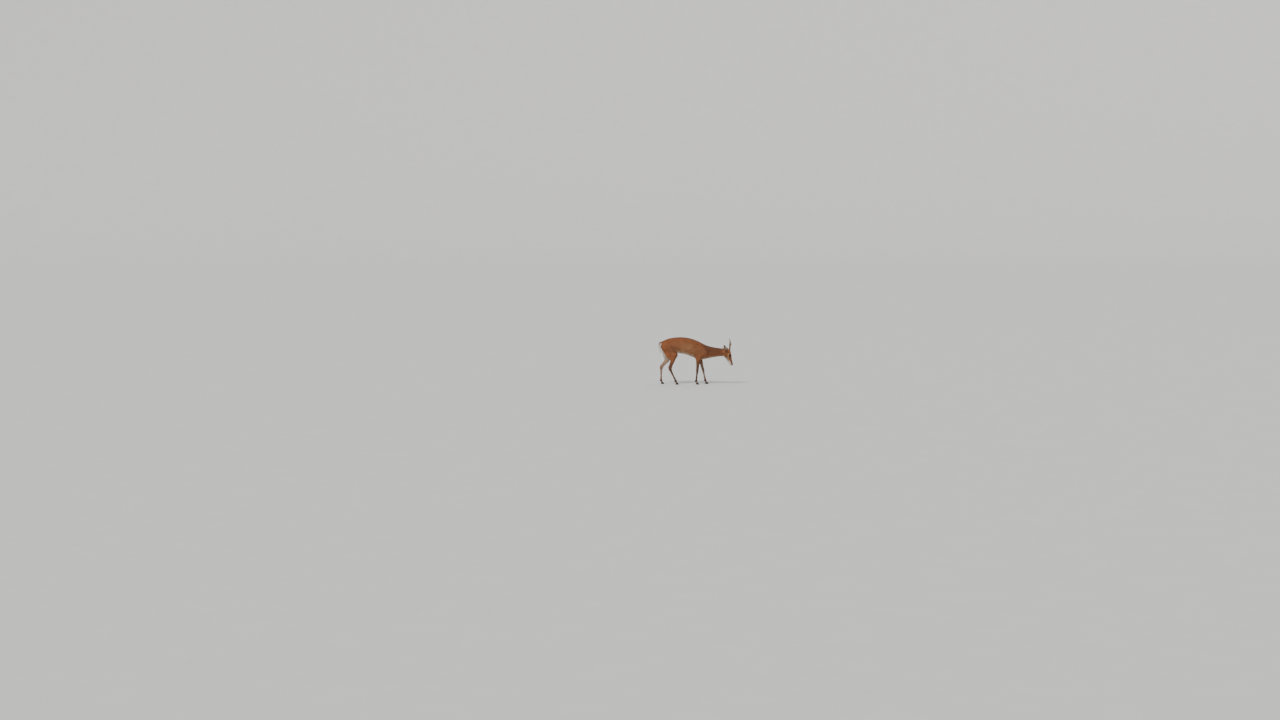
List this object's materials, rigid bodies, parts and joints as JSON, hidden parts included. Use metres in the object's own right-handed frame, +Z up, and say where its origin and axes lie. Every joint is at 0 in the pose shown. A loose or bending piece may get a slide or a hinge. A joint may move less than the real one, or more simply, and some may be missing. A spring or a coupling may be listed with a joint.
{
  "type": "muntjac",
  "caption": "Life-size still model of an adult male muntjac deer foraging at a slow walk, back arched, neck level and head lowered.",
  "frame": {"origin": "on the floor under the middle of the whole animal's bounding box", "axes": "+X towards the head, +Y to the animal's left, +Z up"},
  "size_m": [0.919, 0.2076, 0.5815],
  "materials": {
    "coat": "short dense chestnut hair",
    "dark_coat": "short dusky brown hair",
    "white_hair": "longer white hair",
    "horn": "dark horn of the hooves",
    "antler": "brown antler bone, paler at the tips",
    "ivory": "ivory teeth",
    "eye": "wet dark brown eye",
    "nose": "moist black nose leather"
  },
  "bodies": {
    "root": {"torso": "coat", "neck": "coat", "head": "coat", "nose": "nose", "eye_left": "eye", "eye_right": "eye", "ear_left": "dark_coat", "ear_right": "dark_coat", "antler_left_beam": "antler", "antler_left_brow_tine": "antler", "antler_right_beam": "antler", "antler_right_brow_tine": "antler", "tusk_left": "ivory", "tusk_right": "ivory", "leg_front_left": "dark_coat", "leg_front_right": "dark_coat", "leg_hind_left": "dark_coat", "leg_hind_right": "dark_coat", "hoof_front_left_outer": "horn", "hoof_front_left_inner": "horn", "hoof_front_right_outer": "horn", "hoof_front_right_inner": "horn", "hoof_hind_left_outer": "horn", "hoof_hind_left_inner": "horn", "hoof_hind_right_outer": "horn", "hoof_hind_right_inner": "horn", "tail": "white_hair"}
  },
  "joints": []
}
